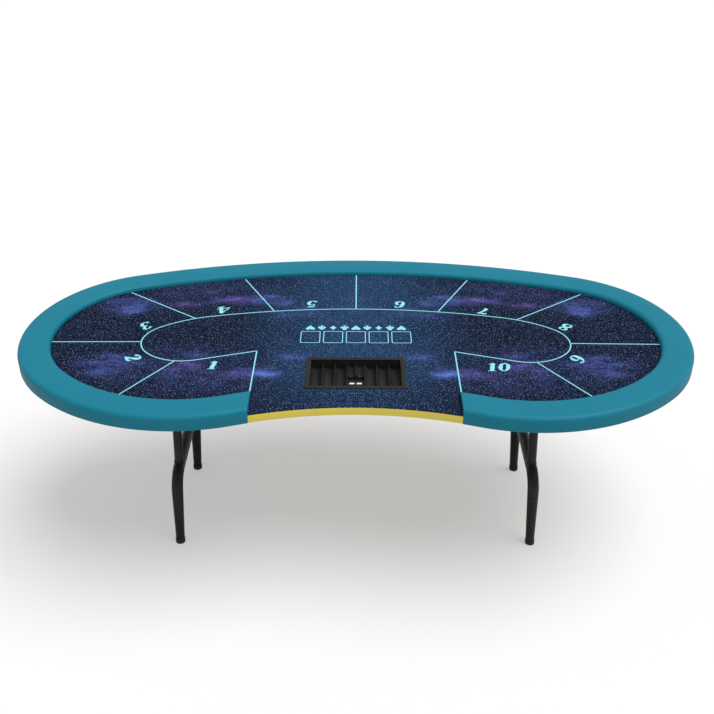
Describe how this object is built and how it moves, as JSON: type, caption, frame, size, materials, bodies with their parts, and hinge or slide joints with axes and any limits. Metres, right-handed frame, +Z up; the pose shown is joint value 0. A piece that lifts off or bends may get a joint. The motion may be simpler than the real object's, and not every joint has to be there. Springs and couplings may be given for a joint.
{
  "type": "poker table",
  "caption": "Kidney-shaped casino poker table with a padded rail, printed cloth, a drop-in chip tray and folding leg frames.",
  "frame": {"origin": "middle of the table's outline, on the floor", "axes": "+X along the table to the dealer's right-hand side as seen from the dealer's place, +Y from the dealer's place towards the players at the back, +Z up"},
  "size_m": [2.4188, 1.1519, 0.78],
  "materials": {
    "plywood": "matte",
    "foam": "matte",
    "cloth": "matte",
    "edge_band": "satin",
    "rail_vinyl": "satin",
    "zinc_steel": "satin",
    "tray_plastic": "matte",
    "black_steel": "satin",
    "foot_rubber": "matte"
  },
  "bodies": {
    "table": {"table_board": "plywood", "foam_underlay": "foam", "playing_cloth": "cloth", "dealer_edge_band": "edge_band", "rail_core": "plywood", "rail_pad": "rail_vinyl", "rail_bolt_1": "zinc_steel", "rail_bolt_2": "zinc_steel", "rail_bolt_3": "zinc_steel", "rail_bolt_4": "zinc_steel", "rail_bolt_5": "zinc_steel", "rail_bolt_6": "zinc_steel", "pivot_bracket_front_left": "zinc_steel", "bracket_screw_front_outer_left": "zinc_steel", "bracket_screw_front_inner_left": "zinc_steel", "pivot_bracket_rear_left": "zinc_steel", "bracket_screw_rear_outer_left": "zinc_steel", "bracket_screw_rear_inner_left": "zinc_steel", "brace_mount_left": "zinc_steel", "brace_screw_front_left": "zinc_steel", "brace_screw_rear_left": "zinc_steel", "pivot_bracket_front_right": "zinc_steel", "bracket_screw_front_outer_right": "zinc_steel", "bracket_screw_front_inner_right": "zinc_steel", "pivot_bracket_rear_right": "zinc_steel", "bracket_screw_rear_outer_right": "zinc_steel", "bracket_screw_rear_inner_right": "zinc_steel", "brace_mount_right": "zinc_steel", "brace_screw_front_right": "zinc_steel", "brace_screw_rear_right": "zinc_steel"},
    "chip_tray": {"chip_tray": "tray_plastic"},
    "leg_frame_left": {"pivot_tube_left": "black_steel", "upper_tube_front_left": "black_steel", "upper_tube_rear_left": "black_steel", "lower_leg_front_left": "black_steel", "lower_leg_rear_left": "black_steel", "cross_rail_left": "black_steel", "brace_tube_left": "black_steel", "foot_cap_front_left": "foot_rubber", "foot_cap_rear_left": "foot_rubber"},
    "brace_long_left": {"brace_long_link_left": "zinc_steel"},
    "brace_short_left": {"brace_short_link_left": "zinc_steel", "brace_elbow_pin_left": "zinc_steel"},
    "leg_frame_right": {"pivot_tube_right": "black_steel", "upper_tube_front_right": "black_steel", "upper_tube_rear_right": "black_steel", "lower_leg_front_right": "black_steel", "lower_leg_rear_right": "black_steel", "cross_rail_right": "black_steel", "brace_tube_right": "black_steel", "foot_cap_front_right": "foot_rubber", "foot_cap_rear_right": "foot_rubber"},
    "brace_long_right": {"brace_long_link_right": "zinc_steel"},
    "brace_short_right": {"brace_short_link_right": "zinc_steel", "brace_elbow_pin_right": "zinc_steel"}
  },
  "joints": [
    {"name": "leg_fold_left", "type": "hinge", "parent": "table", "child": "leg_frame_left", "pos_m": [-0.637, 0, 0.7], "axis": [0, -1, 0], "range_deg": [0, 92.5]},
    {"name": "brace_short_turn_left", "type": "hinge", "parent": "table", "child": "brace_short_left", "pos_m": [-0.507, -0.072, 0.7], "axis": [0, -1, 0], "range_deg": [-59.8, 0]},
    {"name": "brace_long_turn_left", "type": "hinge", "parent": "leg_frame_left", "child": "brace_long_left", "pos_m": [-0.64747, -0.072, 0.46023], "axis": [0, -1, 0], "range_deg": [0, 28.1]},
    {"name": "leg_fold_right", "type": "hinge", "parent": "table", "child": "leg_frame_right", "pos_m": [0.637, 0, 0.7], "axis": [0, 1, 0], "range_deg": [0, 88]},
    {"name": "brace_short_turn_right", "type": "hinge", "parent": "table", "child": "brace_short_right", "pos_m": [0.507, -0.072, 0.7], "axis": [0, 1, 0], "range_deg": [-58.7, 0]},
    {"name": "brace_long_turn_right", "type": "hinge", "parent": "leg_frame_right", "child": "brace_long_right", "pos_m": [0.64747, -0.072, 0.46023], "axis": [0, 1, 0], "range_deg": [0, 27.5]},
    {"name": "chip_tray_lift", "type": "slide", "parent": "table", "child": "chip_tray", "axis": [0, 0, 1], "range_m": [0, 0.12]}
  ],
  "couplings": [
    {"joint": "brace_short_turn_left", "follows": "leg_fold_left", "ratio": -0.64472},
    {"joint": "brace_long_turn_left", "follows": "leg_fold_left", "ratio": 0.30123},
    {"joint": "brace_short_turn_right", "follows": "leg_fold_right", "ratio": -0.66443},
    {"joint": "brace_long_turn_right", "follows": "leg_fold_right", "ratio": 0.31022}
  ]
}
